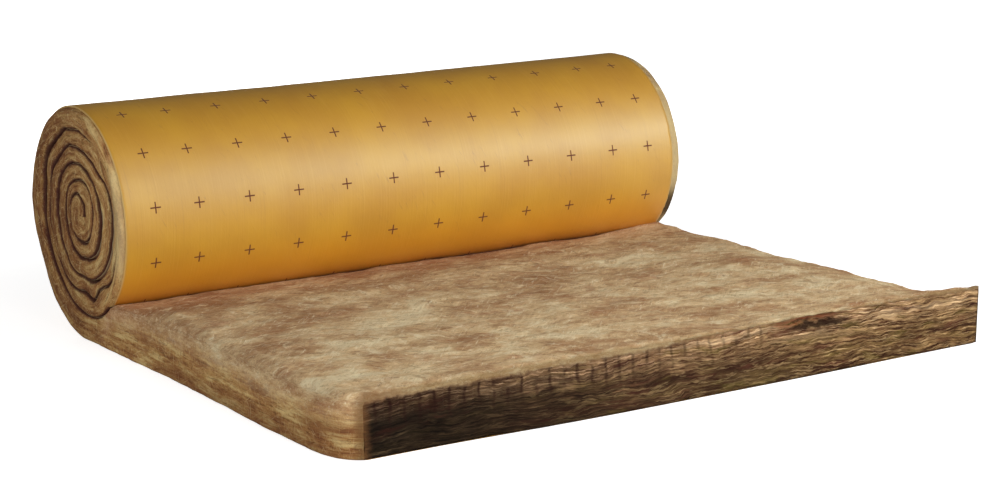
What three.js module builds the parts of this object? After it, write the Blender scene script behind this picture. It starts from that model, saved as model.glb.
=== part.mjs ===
// A roll of faced glass-wool insulation, partly unrolled.
//
// The roll is one long soft mat with a thin facing bonded to its outer side. The mat's free end
// lies flat, wool side up. The rest passes under the roll, climbs its back and winds inward,
// turn by turn, to the mat's other end, which is folded shut in the middle as the roll's eye.
//
// Both pieces are profiles of that winding, drawn across the mat and extruded along its width,
// so each of them is one solid and its turns show on the roll's two ends.
//
// Millimetres. +X runs along the roll's axis, +Y from the mat's cut end towards the roll and
// +Z up. The origin is at the bottom centre of the bounding box.

import * as THREE from "three";

// ---------------------------------------------------------------- driving dimensions

const MAT_WIDTH = 1200; // along the roll's axis
const FACING_MARGIN = 5; // bare wool beyond each long edge of the facing
const FACING_THICKNESS = 0.6;
const BOND_CLEARANCE = 0.3; // between the facing and the wool on either side of it

const ROLL_RADIUS = 194; // to the outside of the facing
const AXIS_HEIGHT = 230; // more than the radius, as the roll stands on a layer of its own mat
const OUTER_TURN = 39; // pressed thickness of the outermost turn, facing included
const INNER_TURN = 29; // pressed thickness of each turn inside it
const EYE_RADIUS = 33; // plug of folded wool in the middle
const EYE_OFFSET = 12; // the inner turns lie this much nearer the mat's flat side

const FLAT_LENGTH = 1006; // from the cut end to under the roll's axis
const FLAT_THICKNESS = 98; // the mat where nothing presses on it, facing included
const FLAT_SPLAY = 30; // each long edge of the flat mat has spread by this much at the cut end
const RECOVERY_LENGTH = 260; // from the nip to where the mat has sprung back to that thickness
const PRESSED_WAVE = 2.5; // height of the ripples that winding leaves in the inner turns
const WAVES_PER_TURN = 4.3; // not a whole number, so they do not line up from turn to turn

// Winding angles, in degrees: 0 is straight down from the axis, 90 the back of the roll,
// 180 its top, 270 its front, and each further turn adds 360.
const LIFT_ANGLE = 60; // here the mat has left the ground and lies on the roll's round
const NIP_ANGLE = 320; // here the roll's facing meets the flat mat in front of the roll
const TUCK_ANGLE = 150; // from the nip to where the mat has dropped inside by a full turn
const OUTER_STEP = 5; // between the points of the outer turn
const INNER_STEP = 10; // between the points of the turns inside it

const WOOL_COLOUR = 0x91714c;
const WOOL_ROUGHNESS = 0.95;
const FACING_COLOUR = 0xcf9c45;
const FACING_ROUGHNESS = 0.4;

// ---------------------------------------------------------------- the winding

const FULL_TURN = 360;
const RECOVERY_POINTS = 8;

// The mat spans from its cut end to the back of the roll, with the origin half-way.
const axisY = (FLAT_LENGTH - ROLL_RADIUS) / 2;
const cutEndY = axisY - FLAT_LENGTH;
const rollFrontY = axisY - ROLL_RADIUS;

const tuckedAngle = NIP_ANGLE + TUCK_ANGLE;
const turnsInside = (ROLL_RADIUS - OUTER_TURN - EYE_RADIUS) / INNER_TURN;
const lastAngle = tuckedAngle + turnsInside * FULL_TURN; // the facing ends here
const wrapAngle = lastAngle + INNER_STEP; // and the wool wraps round its end

// Angles from one to another, the last of them left out.
function anglesBetween(from, to, step) {
  const count = Math.ceil((to - from) / step);
  return Array.from({ length: count }, (_, i) => from + ((to - from) * i) / count);
}

const nipToEnd = [
  ...anglesBetween(NIP_ANGLE, tuckedAngle, OUTER_STEP),
  ...anglesBetween(tuckedAngle, lastAngle, INNER_STEP),
  lastAngle,
];
const groundToEnd = [...anglesBetween(0, NIP_ANGLE, OUTER_STEP), ...nipToEnd];

// How far the winding has gone from lying on the outside (0) to lying a turn deep (1).
const tuck = (angle) => THREE.MathUtils.smoothstep(angle, NIP_ANGLE, tuckedAngle);

// Ripples grow over the first inner turn, so the roll's outside stays smooth.
function ripple(angle) {
  const waves = Math.sin(THREE.MathUtils.degToRad(angle * WAVES_PER_TURN));
  const growth = THREE.MathUtils.smoothstep(angle, tuckedAngle, tuckedAngle + FULL_TURN);
  return PRESSED_WAVE * growth * waves;
}

// Distance from the winding's centre to the facing's outer surface.
function facingRadius(angle) {
  const lift = (AXIS_HEIGHT - ROLL_RADIUS) * (1 - THREE.MathUtils.smoothstep(angle, 0, LIFT_ANGLE));
  const turnsDeep = Math.max(0, angle - tuckedAngle) / FULL_TURN;
  return ROLL_RADIUS + lift - OUTER_TURN * tuck(angle) - INNER_TURN * turnsDeep + ripple(angle);
}

// A point of the winding in the profile's plane, whose x is the part's Y and whose y its Z.
// A positive offset is outward from the facing's outer surface.
function woundPoint(angle, offset) {
  const direction = THREE.MathUtils.degToRad(angle);
  const radius = facingRadius(angle) + offset;
  const centreY = axisY - EYE_OFFSET * tuck(angle);
  return new THREE.Vector2(
    centreY + radius * Math.sin(direction),
    AXIS_HEIGHT - radius * Math.cos(direction),
  );
}

const woundPath = (angles, offset) => angles.map((angle) => woundPoint(angle, offset));

// ---------------------------------------------------------------- the two profiles

const facingInside = -FACING_THICKNESS;
const woolOutside = facingInside - BOND_CLEARANCE;
const woolInside = BOND_CLEARANCE;

// The flat mat's underside, from the cut end to where the mat starts to spread.
const flatLine = (height) => [
  new THREE.Vector2(cutEndY, height),
  new THREE.Vector2(rollFrontY, height),
];

// A long thin ribbon: out along its outer surface, and back along its inner one.
function facingProfile() {
  return [
    ...flatLine(0),
    ...woundPath(groundToEnd, 0),
    ...woundPath(groundToEnd, facingInside).reverse(),
    ...flatLine(FACING_THICKNESS).reverse(),
  ];
}

// The flat mat's top: pressed down at the nip, and sprung back some way in front of it.
function flatTop() {
  const nip = woundPoint(NIP_ANGLE, woolInside);
  const points = [];
  for (let i = 1; i <= RECOVERY_POINTS; i++) {
    const t = i / RECOVERY_POINTS;
    const height = THREE.MathUtils.lerp(nip.y, FLAT_THICKNESS, Math.sin((t * Math.PI) / 2));
    points.push(new THREE.Vector2(nip.x - RECOVERY_LENGTH * t, height));
  }
  points.push(new THREE.Vector2(cutEndY, FLAT_THICKNESS));
  return points;
}

// The wool: inward along the facing's inner surface to the eye, round the facing's inner end,
// and outward again along the facing's outer surface to the nip and over the flat mat.
function woolProfile() {
  return [
    ...flatLine(-woolOutside),
    ...woundPath([...groundToEnd, wrapAngle], woolOutside),
    ...woundPath([...nipToEnd, wrapAngle], woolInside).reverse(),
    ...flatTop(),
  ];
}

// ---------------------------------------------------------------- the two solids

// Widens the mat evenly from the roll's front to the cut end.
function splayFlat(geometry) {
  const position = geometry.attributes.position;
  for (let i = 0; i < position.count; i++) {
    const x = position.getX(i);
    const fromRoll = (rollFrontY - position.getY(i)) / (rollFrontY - cutEndY);
    position.setX(i, x + Math.sign(x) * FLAT_SPLAY * Math.max(0, fromRoll));
  }
}

// Extrudes a profile along the mat's width, turned so that it runs along +X.
function acrossMat(profile, width) {
  const geometry = new THREE.ExtrudeGeometry(new THREE.Shape(profile), {
    depth: width,
    bevelEnabled: false,
  });
  const toPart = new THREE.Matrix4().makeBasis(
    new THREE.Vector3(0, 1, 0),
    new THREE.Vector3(0, 0, 1),
    new THREE.Vector3(1, 0, 0),
  );
  geometry.applyMatrix4(toPart);
  geometry.translate(-width / 2, 0, 0);
  splayFlat(geometry);
  return geometry;
}

function named(name, geometry, color, roughness) {
  const mesh = new THREE.Mesh(
    geometry,
    new THREE.MeshStandardMaterial({ color, roughness, metalness: 0 }),
  );
  mesh.name = name;
  return mesh;
}

const woolMat = named("wool_mat", acrossMat(woolProfile(), MAT_WIDTH), WOOL_COLOUR, WOOL_ROUGHNESS);

const facing = named(
  "facing",
  acrossMat(facingProfile(), MAT_WIDTH - 2 * FACING_MARGIN),
  FACING_COLOUR,
  FACING_ROUGHNESS,
);

const insulationRoll = new THREE.Group();
insulationRoll.name = "insulation_roll";
insulationRoll.add(woolMat, facing);

export default insulationRoll;
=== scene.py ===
"""A partly unrolled roll of faced glass wool: the mat, its facing, the floor, lights and camera.

Everything is in metres in the part's own frame: +X along the roll's axis, +Y from the mat's cut
end towards the roll, +Z up. Both pieces are built on the mat's winding, as angles and radii about
the roll's axis, and carry their place on the unrolled mat, which fibres and print follow.
"""

import math

import bmesh
import bpy
import numpy as np
from mathutils import Matrix, Vector, noise


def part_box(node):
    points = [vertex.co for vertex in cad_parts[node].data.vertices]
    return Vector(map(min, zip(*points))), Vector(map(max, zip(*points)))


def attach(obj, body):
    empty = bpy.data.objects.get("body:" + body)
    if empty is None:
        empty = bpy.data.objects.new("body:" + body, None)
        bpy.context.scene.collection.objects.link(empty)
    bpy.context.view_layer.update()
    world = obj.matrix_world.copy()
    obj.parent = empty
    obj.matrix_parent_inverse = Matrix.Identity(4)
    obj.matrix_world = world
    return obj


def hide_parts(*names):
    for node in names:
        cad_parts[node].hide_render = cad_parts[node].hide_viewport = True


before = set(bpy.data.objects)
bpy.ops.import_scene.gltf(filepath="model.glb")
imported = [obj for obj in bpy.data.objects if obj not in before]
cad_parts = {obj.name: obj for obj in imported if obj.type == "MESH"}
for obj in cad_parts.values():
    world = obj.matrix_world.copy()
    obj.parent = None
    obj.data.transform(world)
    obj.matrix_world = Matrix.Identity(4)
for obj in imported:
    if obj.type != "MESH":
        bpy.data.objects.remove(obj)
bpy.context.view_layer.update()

# -------- sizes that the CAD has too

WOOL_LOW, WOOL_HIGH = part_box("wool_mat")
FACING_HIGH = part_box("facing")[1]

HALF_WIDTH = 0.6
ROLL_RADIUS = 0.194
AXIS_Y = FACING_HIGH.y - ROLL_RADIUS
AXIS_Z = FACING_HIGH.z - ROLL_RADIUS
CUT_Y = WOOL_LOW.y
FACING_MARGIN = WOOL_HIGH.x - FACING_HIGH.x
FACING_THICKNESS = 0.0006
BOND_CLEARANCE = 0.0003
WOOL_LOW_Z = FACING_THICKNESS + BOND_CLEARANCE

FLAT_TOP = 0.098
RECOVERY_LENGTH = 0.26

# Angles on the winding are in degrees: 0 under the roll's axis, 90 at its back, 180 on top, 270
# in front, adding 360 a turn.
LIFT_ANGLE = 60.0
NIP_ANGLE = 320.0
LAST_ANGLE = 2070.0
TURN = 360.0

# -------- shapes seen in the photograph

# The winding inside the nip, as (angle, the facing's radius in millimetres): its turns are
# pressed unevenly.
WOUND = [
    (320, 194), (340, 190), (360, 179), (395, 158), (425, 146),
    (454, 140), (471, 142), (482, 150), (495, 151), (513, 149), (526, 154), (540, 155), (557, 157),
    (578, 165), (600, 169), (630, 170), (650, 169), (671, 166), (682, 151), (691, 149),
    (699, 156), (711, 141), (727, 141), (749, 138), (770, 127), (790, 120),
    (820, 115), (835, 119), (846, 123), (859, 119), (871, 120), (887, 125), (903, 123),
    (920, 125), (934, 127), (946, 129), (957, 139), (968, 147), (982, 149), (1002, 144),
    (1018, 138), (1033, 132), (1046, 127), (1058, 122), (1071, 114), (1089, 110),
    (1110, 98), (1128, 91), (1143, 88), (1170, 86), (1204, 88), (1220, 91), (1242, 92), (1260, 93),
    (1280, 96), (1296, 98), (1314, 101), (1333, 102), (1350, 101), (1368, 97), (1390, 93),
    (1407, 86), (1428, 79), (1446, 73), (1480, 60), (1530, 53), (1576, 55), (1605, 60),
    (1635, 67), (1658, 74), (1675, 76), (1693, 71), (1710, 67), (1734, 62), (1759, 57),
    (1792, 48), (1840, 38), (1890, 32), (1935, 34), (1980, 39), (2025, 36), (2070, 30),
]
EYE_SHIFT = -0.006

# Fine kinks of the inner turns: their height, start and growth, and the winding's radius there,
# less what it loses by the degree.
KINK_HEIGHT, KINK_ANGLE, KINK_GROWTH = 0.0021, 430.0, 90.0
KINK_RADIUS, KINK_TAPER = 0.155, 0.000038

# Dark gaps where the wool has shrunk back from the next turn: that turn's angle, half the angle
# spanned, and the width in metres.
GAPS = [
    (700, 14, 0.0020), (1035, 30, 0.0055), (985, 22, 0.0025), (835, 40, 0.0025),
    (478, 30, 0.0020), (1340, 22, 0.0020), (1385, 28, 0.0055), (1180, 50, 0.0010),
    (1700, 25, 0.0018), (1745, 25, 0.0030),
]
LINE_GAP = 0.0009

# The flat mat's left (-1) and right (1) edge in plan, as (y, x) in millimetres. They spread
# towards the cut end, where the left corner is worn round and the right one is sharp.
FLAT_EDGES = {
    -1: [
        (-600, -597), (-594, -605), (-584, -614), (-570, -622), (-548, -628), (-515, -632),
        (-470, -632), (-410, -631), (-281, -624), (-81, -611), (60, -604), (160, -601), (320, -600),
    ],
    1: [(-600, 635), (-560, 631), (-281, 619), (-81, 610), (60, 604), (212, 600), (320, 600)],
}

# How far the cut stands out beyond the CAD's, as (x, distance) in millimetres, and how far the
# flat top droops along its right edge, as (y, distance).
CUT_BOW = [
    (-640, 0), (-600, 0), (-480, 0), (-400, 3), (-300, 8), (-170, 13), (0, 14), (300, 14),
    (450, 11), (600, 10), (640, 10),
]
RIGHT_DROOP = [
    (-600, 0), (-585, 2), (-560, 14), (-530, 22), (-480, 22), (-430, 20), (-350, 19), (-270, 15),
    (-190, 15), (-100, 13), (-20, 7), (80, 1), (170, -3), (250, -8), (290, -8),
]

# Patches of the flat top: middle, half length and half width in centimetres, and how much paler
# (above 0) or rustier (below 0) they are.
# The dark one at the left just before the nip, at (-50, 14), is painted shade.
PATCHES = [
    (-52, -47, 9, 5, 1.8), (-25, -56, 8, 4, 0.6), (-50, 0, 7, 5, 0.8),
    (-43, 5, 3, 2, 0.8), (-35, -19, 3, 7, 0.6), (-21, -9, 3, 10, 0.7),
    (-24, -29, 6, 3, 0.5), (-20, -44, 5, 3, 0.8), (-11, -46, 5, 3, 1),
    (-2, -39, 3, 1.5, 0.8), (20, -32, 8, 6, 0.8), (29, -41, 4, 3, 1),
    (36, -17, 7, 2.5, 1), (30, 0, 9, 4, 0.8), (30, 12, 12, 5, 1.2),
    (50, 8, 7, 6, 1), (50, 21, 11, 4.5, 1.4), (46, -50, 8, 6, 0.4),
    (-48, -33, 3.5, 3, -0.4), (-50, 14, 10, 5, -1.1), (-37, 9, 5, 3, -0.6),
    (-20, 10, 10, 4, -0.5), (0, 12, 10, 4, -0.8), (-41, -25, 4, 3, -0.8),
    (-56, -38, 4.5, 2.5, -1), (-44, -39, 3, 2, -0.7), (-53, -25, 6, 6, -0.8),
    (-37, -48, 5, 3, -0.6), (-2, -9, 10, 6, -0.5), (6, -4, 5, 3, -1.2),
    (25, -12, 6, 5, -1), (41, -9, 5, 2.5, -0.9), (9, -37, 6, 5, -0.5),
    (19, -49, 9, 4, -0.5),
]

# The flat top's crown along the cut end, and its droop towards the right edge.
CROWN_HEIGHT, CROWN_REACH, CROWN_HALF = 0.004, 0.05, 0.62
DROOP_REACH = 0.085

# The cut end's own shape and its reach: it slants back towards its top, is torn back near its
# right end, and leans out at its right corner.
CUT_REACH = 0.10
CUT_SLANT = 0.010
SLANT_X = (-0.45, -0.20)
TEAR_DEPTH, TEAR_X, TEAR_SPREAD = 0.008, 0.25, 0.07
TEAR_HEIGHT = (0.78, 1.0)
CORNER_LEAN = 0.015
LEAN_X = (0.52, 0.62)

# The flat top's pale wool comes down over the cut as a lip, which thins towards the middle and
# gains again at the right.
LIP_LEFT, LIP_MIDDLE, LIP_GAIN = 0.0125, 0.0040, 0.0030
LIP_THINS_X = (-0.12, 0.16)
LIP_GAINS_X = (0.40, 0.60)

# The rounding of the flat top's left (-1) and right (1) edge: in full, at the cut end, where it
# grows behind the cut, and the share that is pressed away before the nip.
EDGE_RADIUS = {-1: 0.040, 1: 0.026}
EDGE_LEAST = {-1: 0.020, 1: 0.0}
EDGE_GROWTH = {-1: (0.004, 0.120), 1: (0.004, 0.045)}
EDGE_PRESSED = 0.85
PRESSED_Y = (-0.16, -0.01)
CUT_EDGE_RADIUS = 0.012
CUT_EDGE_FADE = 0.03
LEAST_RADIUS = 1e-6

# The knife's score lines, and the hollow behind the torn edge.
SCORE_PITCH, SCORE_HALF, SCORE_DEPTH = 0.026, 0.004, 0.0028
SCORE_X = ((-0.60, -0.56), (0.13, 0.18))
SCORE_HEIGHT = (0.40, 0.75)
SCORE_FADE = 0.006  # below the lip, the lines deepen over this distance
HOLLOW_DEPTH, HOLLOW_X, HOLLOW_SPREAD = 0.007, 0.28, 0.045
HOLLOW_HEIGHT, HOLLOW_RISE = 0.90, 0.06

# -------- curves and noise

def smoothstep(value, low, high):
    """0 up to low, 1 from high on, and a smooth ramp between them."""
    t = np.clip((value - low) / (high - low), 0.0, 1.0)
    return t * t * (3.0 - 2.0 * t)


def plateau(value, rise, fall):
    """1 between two smooth ramps, each given by its two ends, and 0 outside them."""
    return smoothstep(value, *rise) * (1.0 - smoothstep(value, *fall))


def bump(value, centre, spread):
    """1 at the centre, falling off smoothly on both sides."""
    return np.exp(-(((value - centre) / spread) ** 2))


def close_to(distance, reach):
    """1 at no distance, falling evenly to 0 at the reach."""
    return 1.0 - np.minimum(distance, reach) / reach


def spline(knots, at):
    """Smooth curve through (place, value) knots, level beyond them, at some places."""
    place, value = np.array(knots, float).T
    slope = np.gradient(value, place)
    i = np.clip(np.searchsorted(place, at, side="right") - 1, 0, len(place) - 2)
    step = place[i + 1] - place[i]
    t = np.clip((at - place[i]) / step, 0.0, 1.0)
    return (
        (2 * t**3 - 3 * t**2 + 1) * value[i]
        + (t**3 - 2 * t**2 + t) * step * slope[i]
        + (3 * t**2 - 2 * t**3) * value[i + 1]
        + (t**3 - t**2) * step * slope[i + 1]
    )


def measured(knots, at):
    """A table in millimetres, read in metres at places in metres."""
    return spline(knots, at * 1000.0) / 1000.0


def fbm(points, scale, octaves, seed):
    """Fractal noise, about -1 to 1, at each of an array of points whose space is scaled."""
    shift = np.array([7.13, 3.71, 5.19]) * seed
    stretched = (points * np.array(scale)).reshape(-1, 3) + shift
    values = [noise.fractal(p, 0.9, 2.0, octaves) for p in stretched.tolist()]
    return np.array(values).reshape(points.shape[:-1])


def grid3(*values):
    """Arrays of one shape, or that broadcast to it, as an array of points."""
    return np.stack(np.broadcast_arrays(*values), axis=-1)


# -------- the winding

def facing_radius(angle):
    """Distance of the facing's outer surface from the roll's axis."""
    lift = (AXIS_Z - ROLL_RADIUS) * (1.0 - smoothstep(angle, 0.0, LIFT_ANGLE))
    turned = angle - KINK_ANGLE
    inward = np.radians(turned) * (KINK_RADIUS - KINK_TAPER * turned)
    kinks = KINK_HEIGHT * fbm(grid3(inward, 0.0, 0.0), (48, 1, 1), 2, seed=4)
    inside = spline(WOUND, angle) / 1000.0 + kinks * smoothstep(turned, 0.0, KINK_GROWTH)
    return np.where(angle <= NIP_ANGLE, ROLL_RADIUS + lift, inside)


def outward(angle):
    """The (y, z) direction away from the roll's axis."""
    turn = np.radians(angle)
    return np.stack([np.sin(turn), -np.cos(turn)], axis=-1)


def wound_point(angle, offset):
    """(y, z) on the winding, offset outward from the facing's outer surface."""
    radius = facing_radius(angle) + offset
    return (AXIS_Y, AXIS_Z) + radius[..., None] * outward(angle)


def gap_width(angle):
    """How far the wool stands off the turn inside it."""
    width = np.full(np.shape(angle), LINE_GAP)
    for centre, spread, depth in GAPS:
        width = width + depth * bump(angle, centre, spread)
    return width


def lengths(points):
    """Distance along a line, at each of its points."""
    steps = np.linalg.norm(np.diff(points, axis=0), axis=1)
    return np.concatenate([[0.0], np.cumsum(steps)])


NIP_Y, NIP_Z = wound_point(NIP_ANGLE, BOND_CLEARANCE)
WOUND_STEP = 1.5
WOUND_ANGLES = np.arange(0, LAST_ANGLE + WOUND_STEP / 2, WOUND_STEP)

# -------- the flat mat

def flat_top(y):
    """Height of the flat mat's top: sprung back in front, pressed down towards the nip."""
    t = np.clip((NIP_Y - y) / RECOVERY_LENGTH, 0.0, 1.0)
    return NIP_Z + (FLAT_TOP - NIP_Z) * np.sin(t * math.pi / 2)


def half_width(y, side):
    """The flat mat's half width, to the left (side -1) or right (1)."""
    return np.abs(measured(FLAT_EDGES[side], y))


def on_side(size, y, x):
    """A size that differs left and right, at y, on the side that x is on."""
    return np.where(x < 0, size(y, -1), size(y, 1))


def near_cut(y):
    """1 at the cut end, falling to 0 where the cut's own shape has died out."""
    return 1.0 - smoothstep(y, CUT_Y, CUT_Y + CUT_REACH)


def sag(x, y):
    """How the flat top departs from level: crowned at the cut end, drooping at the right."""
    crown = bump(y, CUT_Y, CROWN_REACH) * np.clip(1.0 - (x / CROWN_HALF) ** 4, -1.0, 1.0)
    droop = measured(RIGHT_DROOP, y) * bump(x, half_width(y, 1), DROOP_REACH)
    return CROWN_HEIGHT * crown - droop


def patch_tone(x, y):
    """How much paler (above 0) or rustier (below 0) the flat top's patches make it."""
    tone = 0.0
    for centre_x, centre_y, reach_x, reach_y, amount in PATCHES:
        spread = bump(x * 100.0, centre_x, reach_x) * bump(y * 100.0, centre_y, reach_y)
        tone = tone + amount * spread
    return tone


def cut_bow(x, y, t):
    """How far forward of the CAD's cut the cut end lies, t of the way up."""
    slant = CUT_SLANT * t * smoothstep(x, *SLANT_X)
    torn = TEAR_DEPTH * bump(x, TEAR_X, TEAR_SPREAD) * smoothstep(t, *TEAR_HEIGHT)
    return (measured(CUT_BOW, x) - slant - torn) * near_cut(y)


def corner_lean(x, y, t):
    """How far the cut's right corner leans outward, t of the way up."""
    return CORNER_LEAN * (t - 0.5) * smoothstep(x, *LEAN_X) * near_cut(y)


def lip_height(x):
    """How far the pale wool of the flat top comes down over the cut."""
    thinned = (LIP_LEFT - LIP_MIDDLE) * smoothstep(x, *LIP_THINS_X)
    return LIP_LEFT - thinned + LIP_GAIN * smoothstep(x, *LIP_GAINS_X)


def cut_radius(x):
    """The rounding of the cut's top edge, which runs out at the mat's two corners."""
    to_corner = on_side(half_width, CUT_Y, x) - np.abs(x)
    return CUT_EDGE_RADIUS * smoothstep(to_corner, 0.0, CUT_EDGE_FADE) + LEAST_RADIUS


def edge_radius(y, side):
    """The rounding of a long edge of the flat top: less at the cut end and at the nip."""
    least = EDGE_LEAST[side]
    radius = least + (EDGE_RADIUS[side] - least) * smoothstep(y - CUT_Y, *EDGE_GROWTH[side])
    return radius * (1.0 - EDGE_PRESSED * smoothstep(y - NIP_Y, *PRESSED_Y)) + LEAST_RADIUS


# -------- meshes

class Lattice:
    """The vertices and faces of one closed mesh, with three point attributes.

    mat_coord is the place on the unrolled mat: along it, up through it from the facing, and
    across it. mat_mask is how far a point belongs to the cut end, to the long sides, and to the
    painted shade in the creases between turns and at the nip. mat_tone is patch_tone.
    """

    def __init__(self):
        self.points, self.coords, self.masks = [], [], []
        self.tones, self.faces = [], []

    def add(self, points, coords, masks, tones=0.0):
        """Adds a grid of vertices and returns their numbers as a grid."""
        start = len(self.points)
        for store, new in ((self.points, points), (self.coords, coords), (self.masks, masks)):
            store.extend(new.reshape(-1, 3).tolist())
        self.tones.extend(np.broadcast_to(tones, points.shape[:-1]).ravel().tolist())
        return np.arange(start, len(self.points)).reshape(points.shape[:-1])

    def grid(self, ids):
        """A face for each cell of a grid of vertices."""
        quads = np.stack([ids[:-1, :-1], ids[1:, :-1], ids[1:, 1:], ids[:-1, 1:]], axis=-1)
        self.faces.extend(quads.reshape(-1, 4).tolist())

    def strip(self, left, right):
        """A row of faces between two runs of vertices."""
        self.grid(np.stack([left, right], axis=-1))

    def face(self, *runs):
        """One face round the vertices of the runs given, in order."""
        self.faces.append([int(v) for run in runs for v in np.atleast_1d(run)])

    def object(self, name):
        """The mesh as a smooth object in the scene, its normals outward."""
        mesh = bpy.data.meshes.new(name)
        mesh.from_pydata(self.points, [], self.faces)
        for key, values in (("mat_coord", self.coords), ("mat_mask", self.masks)):
            layer = mesh.attributes.new(key, "FLOAT_VECTOR", "POINT")
            layer.data.foreach_set("vector", np.asarray(values, np.float32).ravel())
        layer = mesh.attributes.new("mat_tone", "FLOAT", "POINT")
        layer.data.foreach_set("value", np.asarray(self.tones, np.float32))
        shell = bmesh.new()
        shell.from_mesh(mesh)
        bmesh.ops.recalc_face_normals(shell, faces=shell.faces)
        shell.to_mesh(mesh)
        shell.free()
        mesh.polygons.foreach_set("use_smooth", [True] * len(mesh.polygons))
        mesh.update()
        return add_object(name, mesh)


def add_object(name, data):
    obj = bpy.data.objects.new(name, data)
    bpy.context.scene.collection.objects.link(obj)
    return obj


def rounded(across, down, radius):
    """Moves a point of a square edge onto an arc. Returns its new distances from both faces."""
    u = np.clip(radius - across, 0.0, None)
    v = np.clip(radius - down, 0.0, None)
    reach = np.maximum(np.hypot(u, v), 1e-9)
    shrink = np.where((u > 0) & (v > 0), np.maximum(u, v) / reach, 1.0)
    return (
        np.where(u > 0, radius - u * shrink, across),
        np.where(v > 0, radius - v * shrink, down),
    )


# -------- the wool mat

FLAT_ROWS = 176
ROW_CROWDING = 1.2  # above 1, the flat mat's rows lie closer towards the cut end
LAYERS = np.array([0.0, 0.035, 0.09, 0.17, 0.27, 0.38, 0.5, 0.62, 0.73, 0.83, 0.91, 0.965, 1.0])
COLUMNS = 220
FINE = 2  # columns of the cut end to each one of the flat top
CUT_LAYERS = 26
PLUG_CORE = 0.003

# Relief of the mat's sides: layers and lumps, and on the roll's ends each turn's unevenness and
# rounded rim, and the outer turn's swelling.
SIDE_LAYERS = 0.0011
SIDE_LUMPS = 0.0024
TURN_UNEVENNESS = 0.0030
RIM_DEPTH = 0.0030
RIM_WIDTH = 0.006
# Width of the painted shade in the creases between turns.
CREASE_SHADE_WIDTH = 0.0065
SIDE_FADE = 0.055  # from the top edge to where the side's colours are full
WOUND_FADE = 20  # degrees in which the flat mat's side becomes the roll's end
SWELLING = {-1: 0.006, 1: 0.017}
SWOLLEN_ANGLES = ((10, 45), (300, 380))

# Relief of the flat top: calm before the nip but for an uneven bulge, and frayed at the cut.
SWELL_HEIGHT = 0.0030
TUFT_HEIGHT = 0.0024
CALM_REACH = 0.03
BULGE_HEIGHT = 0.0032
BULGE_REACH = ((0.0, 0.006), (0.012, 0.040))
FRAY_HEIGHT = 0.0018
FRAY_REACH = 0.008
# Reach of the painted shade before the nip.
SHADE_REACH = 0.020

# Relief of the cut: wavy layers, rougher to the right, and lumps.
CUT_ROUGHNESS = 0.0022
ROUGHER_X = (-0.25, 0.35)
CUT_LUMPS = 0.0024
LAYER_WAVES = 0.010
CUT_BORDER = 0.012  # in from the corners, the relief grows over this distance


class Rows:
    """The mat's section, in rows from the cut end to the eye. A row crosses the mat."""

    def __init__(self):
        y = CUT_Y + (NIP_Y - CUT_Y) * np.linspace(0.0, 1.0, FLAT_ROWS) ** ROW_CROWDING
        flat_inner = grid3(y, flat_top(y))

        under = np.arange(NIP_ANGLE - TURN + WOUND_STEP, 0, WOUND_STEP)
        under_inner = wound_point(under + TURN, BOND_CLEARANCE)
        on_ground = grid3(np.concatenate([y, under_inner[:, 0]]), WOOL_LOW_Z)

        within = np.minimum(WOUND_ANGLES + TURN, LAST_ANGLE)
        core = (AXIS_Y + EYE_SHIFT, AXIS_Z) + PLUG_CORE * outward(WOUND_ANGLES)
        is_plug = WOUND_ANGLES + TURN > LAST_ANGLE
        next_turn = wound_point(within, BOND_CLEARANCE + gap_width(within))
        wound_inner = np.where(is_plug[:, None], core, next_turn)

        wound_outer = wound_point(WOUND_ANGLES, -WOOL_LOW_Z)
        self.outer = np.concatenate([on_ground, wound_outer])
        self.inner = np.concatenate([flat_inner, under_inner, wound_inner])
        flat_angle = np.full(FLAT_ROWS, NIP_ANGLE - TURN)
        self.angle = np.concatenate([flat_angle, under, WOUND_ANGLES])
        self.length = lengths(self.outer)
        self.thickness = np.linalg.norm(self.inner - self.outer, axis=1)
        self.nip = FLAT_ROWS - 1
        self.plug = len(self.outer) - int(np.count_nonzero(is_plug))
        self.in_plug = np.arange(len(self.outer)) >= self.plug


def side_wall(mesh, rows, side):
    """One of the mat's long sides, which is also an end of the roll: rows by layers."""
    t = np.broadcast_to(LAYERS, (len(rows.outer), len(LAYERS)))
    section = rows.outer[:, None] + (rows.inner - rows.outer)[:, None] * t[..., None]
    y, z = section[..., 0], section[..., 1]
    depth = t * rows.thickness[:, None]
    below_top = rows.thickness[:, None] - depth
    angle = rows.angle[:, None]
    in_plug = rows.in_plug[:, None]
    wound = smoothstep(angle, NIP_ANGLE - TURN, NIP_ANGLE - TURN + WOUND_FADE)
    flat = 1.0 - wound
    coords = grid3(rows.length[:, None], depth, side * HALF_WIDTH)

    layered = SIDE_LAYERS * fbm(coords, (20, 190, 1), 3, seed=2 + side)
    lumps = SIDE_LUMPS * fbm(coords, (9, 26, 1), 3, seed=5 + side)
    x = half_width(y, side) + layered + lumps

    # On the roll's end, each turn's edge is rounded off into the lines beside it.
    to_line = np.where(in_plug, depth, np.minimum(depth, below_top))
    uneven = TURN_UNEVENNESS * fbm(grid3(angle / 170.0, 0, side), (1, 1, 1), 2, seed=8)
    x = x + wound * (uneven - RIM_DEPTH * close_to(to_line, RIM_WIDTH) ** 2)
    x = x + SWELLING[side] * np.sin(np.pi * t) ** 0.5 * plateau(angle, *SWOLLEN_ANGLES)

    # On the flat mat, the top edge is rounded over.
    inset, drop = rounded(0.0, below_top, edge_radius(y, side))
    x = x - inset * flat
    z = z - (drop - below_top - sag(side * x, y) * t) * flat
    lean = corner_lean(side * x, y, t) * flat
    y = y - cut_bow(side * x, y, t) * flat

    # Painted shade in the creases between the turns on the roll's ends.
    to_dark = np.where(in_plug, depth, np.where(angle < NIP_ANGLE, below_top, to_line))
    crease_shade = close_to(to_dark, CREASE_SHADE_WIDTH) * wound
    is_side = np.maximum(wound, smoothstep(below_top, 0.0, SIDE_FADE))
    return mesh.add(grid3(side * x + lean, y, z), coords, grid3(0.0, is_side, crease_shade))


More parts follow.
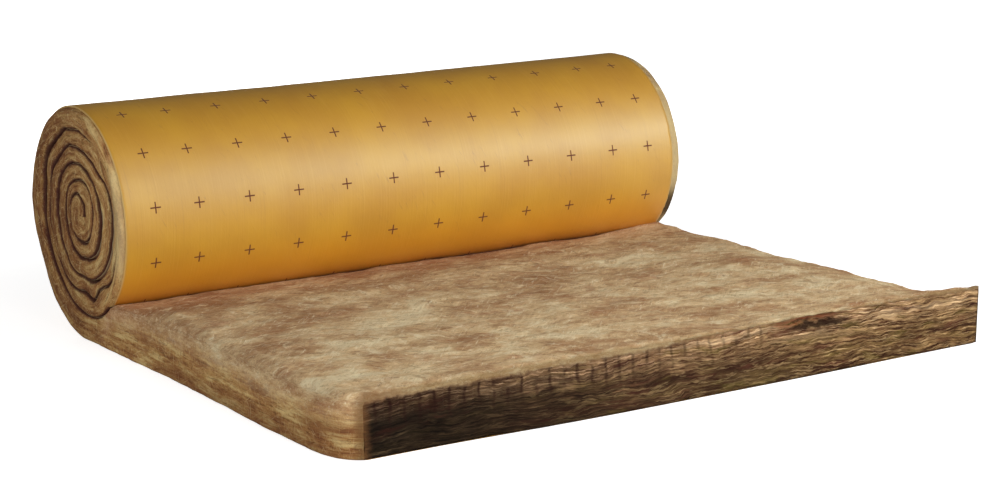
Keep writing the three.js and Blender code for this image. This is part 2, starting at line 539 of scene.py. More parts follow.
def top_relief(y, coords):
    """How far tufts, swells, the frayed cut and the bulge at the nip lift the flat top."""
    swells = SWELL_HEIGHT * fbm(coords, (5, 1, 4), 2, seed=11)
    tufts = TUFT_HEIGHT * fbm(coords, (30, 1, 24), 5, seed=12)
    calm = 1.0 - smoothstep(y, NIP_Y - CALM_REACH, NIP_Y)
    bulge = BULGE_HEIGHT * smoothstep(fbm(coords, (1, 1, 9), 3, seed=14), -0.5, 0.6)
    frayed = FRAY_HEIGHT * fbm(coords, (1, 1, 90), 2, seed=13)
    return (
        (swells + tufts) * calm
        + bulge * plateau(NIP_Y - y, *BULGE_REACH)
        + frayed * bump(y, CUT_Y, FRAY_REACH)
    )


def flat_surface(mesh, rows, left, right):
    """The flat mat's top, from the cut end to the nip, between the edges of its sides."""
    flat = slice(0, rows.nip + 1)
    u = np.linspace(-1.0, 1.0, COLUMNS + 1)[1:-1]
    side = np.where(u < 0, -1, 1)
    y, z = rows.inner[flat, 0, None], rows.inner[flat, 1, None]
    edge = on_side(half_width, y, u)
    x, y, z = np.broadcast_arrays(u * edge, y, z)
    coords = grid3(rows.length[flat, None], FLAT_TOP, x)

    inset, drop = rounded(edge - np.abs(x), 0.0, on_side(edge_radius, y, u))
    z = z - drop + top_relief(y, coords) + sag(x, y)
    from_cut, fallen = rounded(y - CUT_Y, 0.0, cut_radius(x))
    leaning = side * (edge - inset) + corner_lean(x, y, 1.0)
    bowed = CUT_Y + from_cut - cut_bow(x, y, 1.0)
    # Painted shade grows over the last stretch before the nip.
    masks = grid3(0.0, 0.0, smoothstep(y, NIP_Y - SHADE_REACH, NIP_Y))
    points = grid3(leaning, bowed, z - fallen)
    ids = mesh.add(points, coords, masks, patch_tone(x, y))
    top = np.concatenate([left[flat, -1:], ids, right[flat, -1:]], axis=1)
    mesh.grid(top)
    return top


def cut_relief(x, t, depth, below_top):
    """How far layers, lumps, score lines and the hollow move the cut forward."""
    wavy = depth + LAYER_WAVES * fbm(grid3(0.0, 0.3 * depth, x), (1, 20, 8), 3, seed=23)
    layered = CUT_ROUGHNESS * fbm(grid3(0.0, wavy, x), (1, 95, 12), 4, seed=21)
    lumps = CUT_LUMPS * fbm(grid3(0.0, depth, x), (1, 34, 20), 3, seed=22)
    to_score = np.abs((x / SCORE_PITCH) % 1.0 - 0.5) * SCORE_PITCH
    scored = close_to(to_score, SCORE_HALF) * plateau(x, *SCORE_X) * smoothstep(t, *SCORE_HEIGHT)
    scored = scored * smoothstep(below_top - lip_height(x), 0.0, SCORE_FADE)
    hollow = bump(x, HOLLOW_X, HOLLOW_SPREAD) * bump(t, HOLLOW_HEIGHT, HOLLOW_RISE)
    rougher = 1.0 + smoothstep(x, *ROUGHER_X)
    return layered * rougher + lumps - SCORE_DEPTH * scored - HOLLOW_DEPTH * hollow


def cut_end(mesh, rows):
    """The face that the knife left, from corner to corner."""
    u = np.linspace(-1.0, 1.0, COLUMNS * FINE + 1)
    side = np.where(u < 0, -1, 1)
    edge = on_side(half_width, CUT_Y, u)
    t = np.linspace(0.0, 1.0, CUT_LAYERS + 1)[:-1, None]
    x, t = np.broadcast_arrays(u * edge, t)
    depth = t * rows.thickness[0]
    below_top = rows.thickness[0] - depth
    to_corner = edge - np.abs(x)

    inset, drop = rounded(to_corner, below_top, on_side(edge_radius, CUT_Y, u))
    from_cut, fallen = rounded(0.0, below_top, cut_radius(x))
    relief = cut_relief(x, t, depth, below_top) * smoothstep(to_corner, 0.0, CUT_BORDER)
    leaning = side * (edge - inset) + corner_lean(x, CUT_Y, t)
    y = CUT_Y + from_cut - cut_bow(x, CUT_Y, t) - relief
    z = rows.inner[0, 1] - drop + sag(x, CUT_Y) * t - (fallen - below_top)
    masks = grid3(1.0, 0.0, 0.0 * x)
    ids = mesh.add(grid3(leaning, y, z), grid3(0.0, depth, x), masks)
    mesh.grid(ids)
    return ids


def wool_object():
    """The whole mat as one closed mesh, from its cut end to the eye."""
    rows = Rows()
    mesh = Lattice()
    left = side_wall(mesh, rows, -1)
    right = side_wall(mesh, rows, 1)
    mesh.grid(left)
    mesh.grid(right)
    top = flat_surface(mesh, rows, left, right)

    cut = cut_end(mesh, rows)
    for c in range(COLUMNS):
        mesh.face(top[0, c], cut[-1, c * FINE:(c + 1) * FINE + 1], top[0, c + 1])
    mesh.face(left[0], cut[::-1, 0])
    mesh.face(right[0], cut[::-1, -1])
    mesh.face(cut[0], right[0, 0], left[0, 0])

    # The faced side all along, and the other side from the nip to the eye.
    mesh.strip(left[:, 0], right[:, 0])
    inside = slice(rows.nip + 1, rows.plug)
    mesh.face(top[-1], right[rows.nip + 1, -1], left[rows.nip + 1, -1])
    mesh.strip(left[inside, -1], right[inside, -1])

    # The plug of wool in the eye, and where it closes round the facing's inner end.
    for ids in (left, right):
        mesh.face(ids[rows.plug:, -1])
        mesh.face(ids[rows.plug - 1:rows.plug + 1, -1], ids[-1, ::-1])
    mesh.face(left[-1, 0], right[-1, 0], right[rows.plug - 1, -1], left[rows.plug - 1, -1])
    return mesh.object("wool_mat_fleece")


# -------- the facing

FACING_COLUMNS = 200
FACING_FLAT_ROWS = 60
FINE_UNTIL = 333.0
PRINT_ANGLE = 201.6

# On the roll, the facing's edges are ragged and it lies a little slack, more so at the left.
RAGGED_EDGE = {-1: 0.0007, 1: 0.0022}
RAGGED_ANGLES = ((20, 60), (340, 380))
SLACK_HEIGHT = 0.0014
SLACK_ANGLES = ((30, 90), (296, 318))
LEFT_SLACK = 0.0018
LEFT_SLACK_REACH = 0.35
LEFT_SLACK_ANGLES = (90, 150)


class FacingPath:
    """The facing's section, outer and inner, from the cut end to the eye."""

    def __init__(self):
        flat = np.linspace(CUT_Y, AXIS_Y, FACING_FLAT_ROWS)[:-1]
        self.outer, self.inner = (
            np.concatenate([grid3(flat, depth), wound_point(WOUND_ANGLES, -depth)])
            for depth in (0.0, FACING_THICKNESS)
        )
        self.angle = np.concatenate([np.zeros(len(flat)), WOUND_ANGLES])
        self.on_ground = self.angle == 0.0
        self.length = lengths(self.outer)
        self.edges = [self.edge(-1), self.edge(1)]
        self.fine = int(np.count_nonzero(self.angle <= FINE_UNTIL))
        wound = self.length[len(flat):]
        marks = np.interp((PRINT_ANGLE, NIP_ANGLE), WOUND_ANGLES, wound)
        self.print_length, self.nip_length = marks.tolist()

    def edge(self, side):
        """x of one long edge: it follows the mat on the ground, and is ragged on the roll."""
        flat = half_width(self.outer[:, 0], side)
        flat = flat + corner_lean(side * flat, self.outer[:, 0], 0.0)
        half = np.where(self.on_ground, flat, HALF_WIDTH) - FACING_MARGIN
        along = grid3(self.length, 0.0, 0.0)
        ragged = RAGGED_EDGE[side] * np.abs(fbm(along, (38, 1, 1), 4, seed=33 + side))
        return side * (half - ragged * plateau(self.angle, *RAGGED_ANGLES))

    def slack(self, x, angle, coords):
        """How far the facing stands off the roll's round."""
        wavy = SLACK_HEIGHT * (0.5 + 0.5 * fbm(coords, (5, 1, 7), 3, seed=31))
        at_left = bump(x, -HALF_WIDTH, LEFT_SLACK_REACH) * smoothstep(angle, *LEFT_SLACK_ANGLES)
        return plateau(angle, *SLACK_ANGLES) * (wavy + LEFT_SLACK * at_left)

    def skin(self, mesh, base, columns, rows):
        """Adds one skin of the ribbon: some of its rows by that many columns."""
        u = np.linspace(0.0, 1.0, columns + 1)
        left, right = self.edges[0][rows, None], self.edges[1][rows, None]
        x = left + (right - left) * u
        coords = grid3(self.length[rows, None], 0.0, x)
        section = np.broadcast_to(base[rows, None], x.shape + (2,))
        bow = cut_bow(x, section[..., 0], 0.0) * self.on_ground[rows, None]
        if columns > 1:
            angle = self.angle[rows, None]
            section = section + self.slack(x, angle, coords)[..., None] * outward(angle)
        points = grid3(x, section[..., 0] - bow, section[..., 1])
        return mesh.add(points, coords, np.zeros_like(coords))


def facing_object(path):
    """A ribbon of two skins, fine where it shows and plain inside the roll."""
    mesh = Lattice()
    shown = path.skin(mesh, path.outer, FACING_COLUMNS, slice(0, path.fine))
    hidden = path.skin(mesh, path.outer, 1, slice(path.fine, None))
    inner = path.skin(mesh, path.inner, 1, slice(0, None))
    for ids in (shown, hidden, inner):
        mesh.grid(ids)
    mesh.face(shown[-1], hidden[0, ::-1])
    for end in (0, -1):
        mesh.strip(np.concatenate([shown[:, end], hidden[:, end]]), inner[:, end])
    mesh.face(shown[0], inner[0, ::-1])
    mesh.face(hidden[-1], inner[-1, ::-1])
    return mesh.object("facing_sheet")


# -------- materials

def linear(red, green, blue):
    """An sRGB colour, 0 to 255, as the linear colour that a shader takes."""
    def one(v):
        v /= 255.0
        return v / 12.92 if v <= 0.04045 else ((v + 0.055) / 1.055) ** 2.4
    return (one(red), one(green), one(blue), 1.0)


class Nodes:
    """A material's or world's nodes, with short names for what the materials use."""

    def __init__(self, owner, output="Material"):
        owner.use_nodes = True
        self.owner = owner
        self.tree = owner.node_tree
        self.tree.nodes.clear()
        self.out = self.tree.nodes.new("ShaderNodeOutput" + output)

    def put(self, socket, value):
        """Feeds a socket with another node's output, or sets it to a plain value."""
        if isinstance(value, bpy.types.NodeSocket):
            self.tree.links.new(value, socket)
        else:
            socket.default_value = value

    def node(self, kind, *inputs, output=0, **settings):
        """An output of a new node, with its settings made and its inputs filled in order."""
        node = self.tree.nodes.new("ShaderNode" + kind)
        for key, value in settings.items():
            setattr(node, key, value)
        for socket, value in zip(node.inputs, inputs):
            self.put(socket, value)
        return node.outputs[output]

    def fill(self, output, **values):
        """Fills sockets of an output's node by their names, with _ for a space."""
        for name, value in values.items():
            self.put(output.node.inputs[name.replace("_", " ")], value)
        return output

    def surface(self, **values):
        return self.fill(self.node("BsdfPrincipled"), **values)

    def finish(self, shader):
        self.put(self.out.inputs[0], shader)
        return self.owner

    def attribute(self, name, output="Vector"):
        return self.node("Attribute", attribute_name=name, output=output)

    def place(self):
        """x, y and z in the part's frame, in metres."""
        return self.split(self.node("TexCoord", output="Object"))

    def split(self, vector):
        return tuple(self.node("SeparateXYZ", vector).node.outputs)

    def join(self, x, y, z):
        return self.node("CombineXYZ", x, y, z)

    def math(self, operation, *values):
        return self.node("Math", *values, operation=operation)

    def times(self, a, b):
        return self.math("MULTIPLY", a, b)

    def minus(self, a, b):
        return self.math("SUBTRACT", a, b)

    def times_plus(self, a, b, c):
        return self.math("MULTIPLY_ADD", a, b, c)

    def vector(self, operation, *values):
        return self.node("VectorMath", *values, operation=operation)

    def turned(self, vector, degrees):
        """A vector turned about its second axis, the mat's depth."""
        turned = self.node("VectorRotate", vector, rotation_type="Y_AXIS")
        return self.fill(turned, Angle=math.radians(degrees))

    def noise(self, vector, stretch, detail, rough, warp=0.0):
        """Noise from 0 to 1, stretch giving its cells to the metre along, through and across."""
        noise = self.node("TexNoise", self.vector("MULTIPLY", vector, stretch))
        return self.fill(noise, Scale=1.0, Detail=detail, Roughness=rough, Distortion=warp)

    def range(self, value, low, high, to_low=0.0, to_high=1.0):
        """A smooth ramp from one value, up to low, to another, from high on."""
        limits = (low, high, to_low, to_high)
        return self.node("MapRange", value, *limits, interpolation_type="SMOOTHSTEP")

    def band(self, value, low, high, soft):
        """1 between low and high, 0 outside, with edges as soft as that."""
        rise = self.range(value, low - soft, low + soft)
        fall = self.range(value, high + soft, high - soft)
        return self.times(rise, fall)

    def ramp(self, value, places, colours):
        """Blends from colour to colour as a value passes the places given."""
        blend = self.node("ValToRGB", value)
        elements = blend.node.color_ramp.elements
        while len(elements) < len(places):
            elements.new(0.5)
        for element, place, colour in zip(elements, places, colours):
            element.position = place
            element.color = linear(*colour)
        return blend

    def mix(self, factor, a, b):
        mixed = self.node("Mix", factor, data_type="RGBA", output=2)
        self.put(mixed.node.inputs[6], a)
        self.put(mixed.node.inputs[7], b)
        return mixed

    def paint(self, colour, factor, over, share=1.0):
        """Lays a colour over another by a factor, at most by the share given."""
        return self.mix(self.times(factor, share), colour, linear(*over))

    def coats(self, colour, rows):
        """Paints one coat over another. A row is a coat's colour and share, a value and the
        two limits between which it brings the coat in, and then all that holds it back."""
        for over, share, value, low, high, *holds in rows:
            factor = self.range(value, low, high)
            for hold in holds:
                factor = self.times(factor, hold)
            colour = self.paint(colour, factor, over, share)
        return colour

    def bump(self, height, distance, strength):
        return self.fill(self.node("Bump", strength, distance), Height=height)


# Angles in degrees at which fibres and longer streaks lie on the mat.
FIBRE_TURNS = (12, 68, -47)
SWEEP_TURNS = (24, -9)
SCUFF_TURN = 24

# Places and colours of the ramps: the open side, the long sides in front and at the back, and
# the cut end from left to right, low down and higher up, for its dark and pale fibres.
THIRDS = (0.0, 0.35, 0.65, 1.0)
OPEN_TONES = ((157, 111, 76), (185, 147, 106), (213, 181, 136), (234, 216, 174))
FRONT_TONES = ((134, 87, 54), (167, 120, 73), (186, 145, 89), (214, 186, 128))
HALVES = (0.0, 0.5, 1.0)
# The back's tones are darker, as painted shade.
SHADED_BACK_TONES = ((102, 62, 40), (134, 92, 56), (160, 124, 74))
CUT_PLACES = (0.0, 0.35, 0.6, 1.0)
LOW_DARK = ((14, 10, 7), (38, 25, 17), (56, 35, 23), (56, 33, 22))
LOW_PALE = ((44, 34, 24), (94, 70, 47), (96, 72, 47), (146, 112, 72))
HIGH_DARK = ((42, 25, 19), (70, 43, 32), (84, 50, 34), (80, 47, 32))
HIGH_PALE = ((92, 68, 47), (164, 127, 90), (186, 146, 102), (196, 156, 108))

# Places of marks on the cut, in x or height: from, to and the softness of both. The last is
# where a ramp starts and ends.
SHADED_FEET = ((-0.38, -0.24, 0.05), (0.08, 0.22, 0.05))
SCORED = (-0.59, 0.17, 0.03)
TORN = (0.215, 0.335, 0.025)
TORN_HEIGHT = (0.089, 0.101, 0.004)
TORN_LIP = (0.175, 0.32, 0.02)
TORN_LIP_HEIGHT = (0.097, 0.105)

# Places of tints on the mat's sides: where a ramp starts and ends, or a band as above.
TO_BACK = (AXIS_Y - 0.15, AXIS_Y + 0.12)
BEFORE_ROLL = (AXIS_Y - 0.25, AXIS_Y - 0.45)
BY_CUT = (-0.43, -0.50)
LIT_ROLL_FRONT = (0.264, 0.232)
RIGHT_END = (0.40, 0.56)
# Where the right end gets painted shadow at the nip.
NIP_HEIGHT = (0.105, 0.165, 0.020)
NIP_PLACE = (NIP_Y - 0.080, NIP_Y + 0.050, 0.015)
LEFT_CORNER = FLAT_EDGES[-1][0][1] / 1000.0


def felt(n, where):
    """Fine fibres crossing at several angles, as one value: high on a bright strand."""
    strands = None
    for degrees in FIBRE_TURNS:
        crossing = n.noise(n.turned(where, degrees), (300, 330, 30), 3, 0.62, 0.7)
        strands = crossing if strands is None else n.math("MAXIMUM", strands, crossing)
    return strands


def wool_surface(n, where, strands):
    """The mat's open side: pale and rusty patches under a felt of crossing fibres."""
    along, depth, across = n.split(where)
    cloud = n.noise(where, (10, 24, 8), 13, 0.74)
    cloud = n.times_plus(n.attribute("mat_tone", "Fac"), 0.080, cloud)
    # Darker towards the roll, as painted shade.
    cloud = n.minus(cloud, n.range(along, 0.40, 0.84, 0.0, 0.06))
    rust = n.noise(n.vector("ADD", where, (3.1, 0, 1.7)), (14, 30, 11), 10, 0.76)

    # The streaks drift along the mat as they run across it.
    drift = n.noise(where, (3.5, 1, 3.0), 2, 0.5)
    curved = n.join(n.times_plus(drift, 0.35, along), depth, across)
    tufts = n.noise(curved, (40, 60, 24), 9, 0.74, 0.4)
    flecks = n.noise(curved, (120, 110, 44), 6, 0.74)
    sweeps = [
        n.noise(n.turned(curved, degrees), (70, 60, 9), 7, 0.66, 0.3) for degrees in SWEEP_TURNS
    ]
    colour = n.coats(n.ramp(n.range(cloud, 0.26, 0.72), THIRDS, OPEN_TONES), [
        ((172, 114, 82), 0.45, rust, 0.52, 0.66),
        ((238, 220, 180), 0.62, tufts, 0.53, 0.64),
        ((140, 100, 66), 0.50, tufts, 0.47, 0.36),
    ])
    for sweep in sweeps:
        colour = n.coats(colour, [
            ((232, 218, 180), 0.35, sweep, 0.57, 0.70),
            ((152, 112, 74), 0.25, sweep, 0.43, 0.30),
        ])
    # The palest flecks and strands are pale fibre with painted glints on it.
    return n.coats(colour, [
        ((238, 226, 192), 0.65, flecks, 0.58, 0.70),
        ((138, 96, 62), 0.60, flecks, 0.42, 0.31),
        ((240, 230, 196), 0.55, strands, 0.60, 0.75),
        ((126, 92, 58), 0.50, strands, 0.53, 0.44),
        # Redder near and inside the roll, as painted warm bounce light from the facing.
        ((166, 94, 68), 0.18, along, 0.70, 0.84),
    ])


def wool_layers(n, where, strands):
    """The mat's sides: the same wool seen on edge, in soft layers along the winding."""
    x, y, z = n.place()
    layers = n.noise(where, (26, 240, 20), 8, 0.70, 0.5)
    broad = n.range(n.noise(where, (9, 60, 5), 9, 0.72, 0.2), 0.34, 0.66)
    front = n.ramp(broad, THIRDS, FRONT_TONES)
    back = n.ramp(broad, HALVES, SHADED_BACK_TONES)
    # The long sides darken towards the back, as painted shade.
    colour = n.coats(n.mix(n.range(y, *TO_BACK), front, back), [
        ((212, 188, 132), 0.50, layers, 0.52, 0.70),
        ((78, 44, 32), 0.65, layers, 0.49, 0.33),
        ((222, 198, 142), 0.45, strands, 0.58, 0.72),
        ((80, 50, 34), 0.45, strands, 0.54, 0.42),
        # The flat mat is darker and redder towards its foot, as painted shade, and rustier in a
        # streak close to the cut end.
        ((92, 48, 30), 0.35, z, 0.045, 0.0, n.range(y, *BEFORE_ROLL)),
        ((112, 68, 42), 0.45, y, *BY_CUT, n.band(z, 0.032, 0.055, 0.012)),
        # The roll's front is paler as painted light, its right end greyer, and that end has painted
        # shadow at the nip.
        ((222, 202, 150), 0.38, y, *LIT_ROLL_FRONT, n.range(z, 0.12, 0.17)),
        ((172, 160, 122), 0.45, x, *RIGHT_END),
        ((48, 28, 18), 0.85, x, *RIGHT_END, n.band(z, *NIP_HEIGHT), n.band(y, *NIP_PLACE)),
    ])
    return colour, layers


def cut_ground(n, fibre, across, height):
    """The cut's colours from left to right, dark and pale by its fibre, low and high."""
    place = n.range(across, -0.62, 0.62)
    low = n.mix(fibre, *(n.ramp(place, CUT_PLACES, tones) for tones in (LOW_DARK, LOW_PALE)))
    high = n.mix(fibre, *(n.ramp(place, CUT_PLACES, tones) for tones in (HIGH_DARK, HIGH_PALE)))
    low_until = n.range(across, -0.55, 0.10, 0.064, 0.045)
    return n.mix(n.range(height, low_until, 0.102), low, high)


def cut_strokes(n, colour, wavy, across, height, layers, clumps):
    """Strands, folds and tints of the cut's layers, most of them fewer to the left."""
    to_right = n.range(across, -0.60, 0.20, 0.25, 1.0)
    # Pale strokes high up and to the right, where the cut is lit, are pale fibre and painted
    # highlight.
    lit = n.times(to_right, n.range(height, 0.060, 0.105))
    folded = n.range(across, -0.50, 0.25, 0.06, 1.0)
    at_right = n.range(across, 0.0, 0.35)
    folds = []
    for shift, stretch in ((0.4, (1, 80, 9)), (0.0, (1, 62, 6))):
        wave = n.noise(n.vector("ADD", wavy, (shift, 0, 0)), stretch, 4.0, 0.55)
        folds.append(n.math("ABSOLUTE", n.minus(wave, 0.5)))
    bands = n.noise(wavy, (1, 48, 5), 8, 0.72)
    stains = n.noise(n.vector("ADD", wavy, (0.8, 0, 0)), (1, 60, 10), 5, 0.6)
    return n.coats(colour, [
        ((222, 186, 150), 0.75, layers, 0.52, 0.62, lit),
        ((190, 158, 112), 0.30, clumps, 0.56, 0.68, to_right),
        ((204, 170, 118), 0.40, folds[0], 0.028, 0.006, folded),
        ((52, 26, 20), 0.75, folds[1], 0.028, 0.006, folded),
        ((58, 30, 22), 0.60, bands, 0.47, 0.36),
        ((160, 130, 78), 0.35, bands, 0.52, 0.62, folded),
        ((120, 106, 50), 0.40, stains, 0.54, 0.66, folded),
        ((106, 56, 46), 0.40, stains, 0.46, 0.34, folded),
        ((216, 184, 146), 0.50, bands, 0.52, 0.62, lit),
        ((50, 27, 19), 0.50, layers, 0.50, 0.40, at_right),
        ((222, 190, 140), 0.40, layers, 0.55, 0.66, at_right),
    ])


def cut_marks(n, colour, where, across, height, wander, layers):
    """Painted shade at the cut's feet and in its torn hollow, broken score lines, and a rusty lip.
    """
    score = n.math("PINGPONG", n.times_plus(wander, 0.010, across), SCORE_PITCH / 2)
    broken = n.range(n.noise(where, (1, 44, 36), 4, 0.6), 0.36, 0.56, 0.15, 1.0)
    fainter = n.range(across, -0.20, 0.05, 1.0, 0.6)
    upper = n.range(height, 0.040, 0.095)
    colour = n.coats(colour, [
        ((34, 22, 15), 0.35, height, 0.052, 0.030, n.band(across, *foot)) for foot in SHADED_FEET
    ])
    colour = n.coats(colour, [
        ((40, 18, 15), 0.80, score, 0.0050, 0.0004, broken, fainter, upper, n.band(across, *SCORED)),
    ])
    # The torn place's hollow is painted dark, as painted shade in the recess.
    hollow = n.times(n.band(across, *TORN), n.band(height, *TORN_HEIGHT))
    colour = n.paint(colour, hollow, (30, 12, 9), 0.90)
    on_lip = n.times(n.band(across, *TORN_LIP), n.range(height, *TORN_LIP_HEIGHT))
    return n.coats(colour, [((114, 52, 26), 0.85, layers, 0.40, 0.60, on_lip)])


def wool_cut(n, where):
    """The cut end: layers of fibre, almost black at the lower left and paler up and right."""
    along, depth, across = n.split(where)
    sway = n.noise(where, (1, 10, 7), 5, 0.6)
    wavy = n.join(along, n.times_plus(sway, 0.034, depth), across)
    layers = n.noise(wavy, (1, 310, 20), 7, 0.72, 0.2)
    clumps = n.noise(wavy, (1, 110, 12), 8, 0.70, 0.2)
    fibre = n.range(n.times_plus(clumps, 0.6, layers), 0.63, 0.94)
    wander = n.noise(where, (1, 40, 30), 3, 0.6)
    height = n.times_plus(wander, 0.030, depth)

    colour = cut_ground(n, fibre, across, height)
    colour = cut_strokes(n, colour, wavy, across, height, layers, clumps)
    colour = cut_marks(n, colour, where, across, height, wander, layers)
    return colour, fibre


def past_lip(n, is_cut, along, depth, across, uneven):
    """How far a point lies before the cut's top edge, and before the lip that hangs over it."""
    fallen = n.times(is_cut, n.minus(FLAT_TOP, depth))
    to_edge = n.minus(along, fallen)
    thinned = n.range(across, *LIP_THINS_X, LIP_LEFT, LIP_MIDDLE)
    lip = n.math("ADD", thinned, n.range(across, *LIP_GAINS_X, 0.0, LIP_GAIN))
    return to_edge, n.times_plus(uneven, 0.018, n.math("ADD", to_edge, lip))


def wool_material():
    """Glass wool, which differs on the mat's open side, its long sides and its cut end."""
    n = Nodes(bpy.data.materials.new("glass_wool"))
    where = n.attribute("mat_coord")
    along, depth, across = n.split(where)
    is_cut, is_side, crease_shade = n.split(n.attribute("mat_mask"))
    strands = felt(n, where)
    x, y, z = n.place()
    side_strands = felt(n, n.join(y, x, z))
    side, layers = wool_layers(n, where, side_strands)
    cut, cut_layers = wool_cut(n, where)
    colour = n.mix(is_side, wool_surface(n, where, strands), side)

    # At the left corner the colours of the side and of the cut run into each other.
    uneven = n.minus(n.noise(where, (60, 90, 60), 4, 0.7), 0.5)
    to_edge, to_lip = past_lip(n, is_cut, along, depth, across, uneven)
    corner = n.times(is_cut, n.minus(across, LEFT_CORNER))
    corner = n.times_plus(uneven, 0.020, n.minus(corner, along))
    cut = n.coats(cut, [((118, 80, 48), 0.75, corner, 0.016, -0.004)])
    colour = n.coats(colour, [
        ((98, 82, 50), 0.66, to_edge, 0.014, -0.003),
        ((110, 72, 44), 0.50, corner, -0.016, 0.002, n.range(across, -0.50, -0.56)),
        ((84, 52, 36), 0.60, to_lip, 0.006, -0.002),
    ])
    below_lip = n.range(to_lip, 0.002, -0.004)
    colour = n.mix(below_lip, colour, cut)

    # Painted shade in the creases between turns and at the nip, with frayed edges.
    fray = n.noise(where, (200, 60, 150), 4, 0.7)
    frayed = n.times_plus(fray, 0.8, crease_shade)
    colour = n.coats(colour, [((74, 42, 38), 0.90, frayed, 0.65, 1.30)])

    relief = n.mix(is_side, strands, n.times_plus(layers, 0.8, side_strands))
    relief = n.mix(below_lip, relief, cut_layers)
    return n.finish(n.surface(
        Base_Color=colour,
        Roughness=0.95,
        Specular_IOR_Level=0.08,
        Normal=n.bump(relief, 0.0035, 0.8),
    ))


# The facing's print: its pitch, where the outermost crosses and their neighbours are, and half
# the width and length of the arms, as soft edges.
PRINT_PITCH = 0.100
PRINT_EDGE = 0.535
PRINT_NEXT = 0.450
ARM_WIDTH = (0.0016, 0.0009)
ARM_LENGTH = (0.0106, 0.0098)
INK = (88, 12, 0)
KRAFT_DARK = (184, 127, 5)
KRAFT_PALE = (196, 141, 8)
WORN_EDGE = (0.5935, 0.5960)


def cross_print(n, along, across, first_row):
    """Small crosses every 100 mm both ways, with the outermost ones drawn inward."""
    row = n.math("PINGPONG", n.minus(along, first_row), PRINT_PITCH / 2)
    half = n.math("ABSOLUTE", across)
    inner = n.minus(n.math("PINGPONG", half, PRINT_PITCH / 2), PRINT_PITCH / 2)
    inner = n.math("ABSOLUTE", inner)
    outer = n.math("ABSOLUTE", n.minus(half, PRINT_EDGE))
    is_outer = n.math("GREATER_THAN", half, (PRINT_EDGE + PRINT_NEXT) / 2)
    both = n.times(is_outer, n.minus(outer, inner))
    column = n.math("ADD", inner, both)
    arms = [
        n.times(n.range(over, *ARM_WIDTH), n.range(along_arm, *ARM_LENGTH))
        for over, along_arm in ((row, column), (column, row))
    ]
    return n.math("MAXIMUM", *arms)


def facing_material(path):
    """Satin amber kraft: streaks, scuffs, printed crosses, and painted shade and bounce light at the
    nip.
    """
    n = Nodes(bpy.data.materials.new("kraft_facing"))
    where = n.attribute("mat_coord")
    along, _, across = n.split(where)
    mottle = n.noise(where, (6, 1, 7), 4, 0.55)
    streaks = n.noise(where, (5, 1, 330), 3, 0.6)
    scuffs = n.noise(n.turned(where, SCUFF_TURN), (26, 1, 210), 4, 0.6, 0.8)
    ink = cross_print(n, along, across, path.print_length)
    to_nip = n.times_plus(mottle, 0.040, n.minus(along, path.nip_length))
    worn = n.times_plus(mottle, 0.003, n.math("ABSOLUTE", across))

    kraft = n.mix(n.range(mottle, 0.3, 0.7), linear(*KRAFT_DARK), linear(*KRAFT_PALE))
    colour = n.coats(kraft, [
        ((214, 166, 86), 0.18, streaks, 0.50, 0.75),
        ((150, 96, 26), 0.20, streaks, 0.42, 0.28),
        ((140, 86, 26), 0.30, scuffs, 0.62, 0.72),
        # Deeper orange towards the nip, as painted warm bounce light from the wool.
        ((216, 134, 0), 0.55, to_nip, -0.115, -0.020),
    ])
    colour = n.coats(n.paint(colour, ink, INK), [
        # The next two: redder towards the nip as painted warm bounce light, then painted shadow at
        # the nip itself.
        ((172, 84, 14), 0.60, to_nip, -0.024, 0.024),
        ((96, 42, 14), 0.80, to_nip, 0.011, 0.026),
        ((206, 178, 120), 0.40, worn, *WORN_EDGE),
    ])
    return n.finish(n.surface(
        Base_Color=colour,
        Roughness=n.range(ink, 0.0, 1.0, 0.58, 1.0),
        IOR=1.65,
        Specular_IOR_Level=1.0,
        Specular_Tint=(0.64, 1.0, 0.88, 1.0),
        Coat_Weight=n.range(ink, 0.0, 1.0, 0.35, 0.0),
        Coat_Roughness=0.40,
        Normal=n.bump(n.times_plus(scuffs, 0.6, streaks), 0.0008, 0.35),
    ))


# -------- floor, lights, camera

CAMERA_PLACE = (-2.3294, -3.6369, 0.9951)
CAMERA_TURN = (-33.1, 79.04, -1.3)  # pan, tilt and roll in degrees
CAMERA_LENS = 88.11
SENSOR_WIDTH = 36.0

WHITE = (1, 1, 1, 1)
WORLD_STRENGTH = 0.09
FLOOR_HALF = 30.0
FLOOR_DROP = 0.0002

# Near the roll, the floor's glow to the camera is less than white, and the shadow shows.
GLOW_NEAR = 0.72
GLOW_REACH = (0.9, 2.6)

# Each light's name, place, aim, size and power, and whether glossy surfaces show it.
LIGHTS = [
    ("key", (3.10, -2.6, 1.65), (0.1, 0.3, 0.2), (2.1, 0.5), 95, True),
    ("front", (-0.6, -3.4, 0.38), (0.0, 0.3, 0.2), (2.6, 0.8), 66, False),
    ("side", (-3.6, 0.2, 1.1), (0.0, 0.2, 0.15), (1.6, 1.2), 40, True),
    ("top", (0.1, -1.2, 1.25), (0.0, -0.1, 0.0), (2.2, 0.7), 11, True),
    ("back", (0.6, 3.9, 0.9), (0.0, 0.4, 0.2), (3.2, 1.0), 44, False),
]


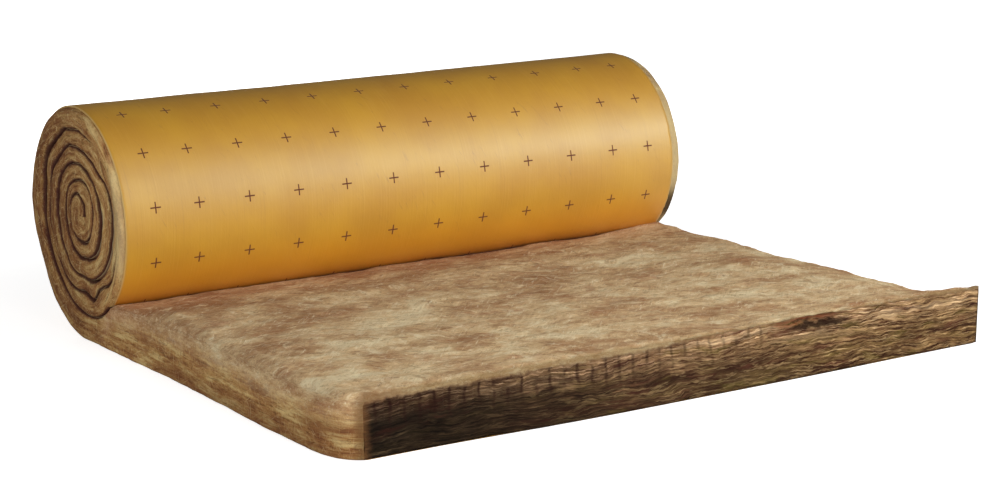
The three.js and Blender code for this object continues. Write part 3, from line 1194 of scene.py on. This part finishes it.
def add_camera():
    data = bpy.data.cameras.new("camera")
    data.lens = CAMERA_LENS
    data.sensor_width = SENSOR_WIDTH
    data.sensor_fit = "HORIZONTAL"
    data.clip_start = 0.05
    data.clip_end = 100.0
    camera = add_object("camera", data)
    pan, tilt, roll = (math.radians(a) for a in CAMERA_TURN)
    camera.matrix_world = (
        Matrix.Translation(CAMERA_PLACE)
        @ Matrix.Rotation(pan, 4, "Z")
        @ Matrix.Rotation(tilt, 4, "X")
        @ Matrix.Rotation(roll, 4, "Z")
    )
    bpy.context.scene.camera = camera


def add_world():
    """White to the camera, and a weak even light to everything else."""
    world = bpy.data.worlds.new("studio")
    bpy.context.scene.world = world
    n = Nodes(world, "World")
    to_camera = n.node("LightPath", output="Is Camera Ray")
    soft = n.node("Background", WHITE, WORLD_STRENGTH)
    white = n.node("Background", WHITE, 1.0)
    n.finish(n.node("MixShader", to_camera, soft, white))


def add_area(name, place, target, size, power, glossy):
    data = bpy.data.lights.new(name, "AREA")
    data.shape = "RECTANGLE"
    data.size, data.size_y = size
    data.energy = power
    lamp = add_object(name, data)
    lamp.location = place
    lamp.visible_glossy = glossy
    direction = Vector(target) - Vector(place)
    lamp.rotation_euler = direction.to_track_quat("-Z", "Y").to_euler()


def floor_material():
    """Matt white, with a glow to the camera alone that is full away from the roll."""
    n = Nodes(bpy.data.materials.new("floor"))
    matt = n.surface(Base_Color=(0.8, 0.8, 0.8, 1), Roughness=1.0, Specular_IOR_Level=0.0)
    x, y, _ = n.place()
    away = n.math("SQRT", n.times_plus(x, x, n.times(y, y)))
    whiteness = n.range(away, *GLOW_REACH, GLOW_NEAR, 1.0)
    to_camera = n.node("LightPath", output="Is Camera Ray")
    glow = n.node("Emission", WHITE, n.times(to_camera, whiteness))
    return n.finish(n.node("AddShader", matt, glow))


def add_floor():
    mesh = bpy.data.meshes.new("floor")
    corners = [(-1, -1), (1, -1), (1, 1), (-1, 1)]
    points = [(x * FLOOR_HALF, y * FLOOR_HALF, -FLOOR_DROP) for x, y in corners]
    mesh.from_pydata(points, [], [(0, 1, 2, 3)])
    floor = add_object("floor", mesh)
    mesh.materials.append(floor_material())


# -------- the scene

bpy.context.scene.view_settings.view_transform = "Standard"
add_camera()
add_world()
for light in LIGHTS:
    add_area(*light)
add_floor()

wool = wool_object()
wool.data.materials.append(wool_material())
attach(wool, "root")
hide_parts("wool_mat")

path = FacingPath()
facing = facing_object(path)
facing.data.materials.append(facing_material(path))
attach(facing, "root")
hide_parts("facing")
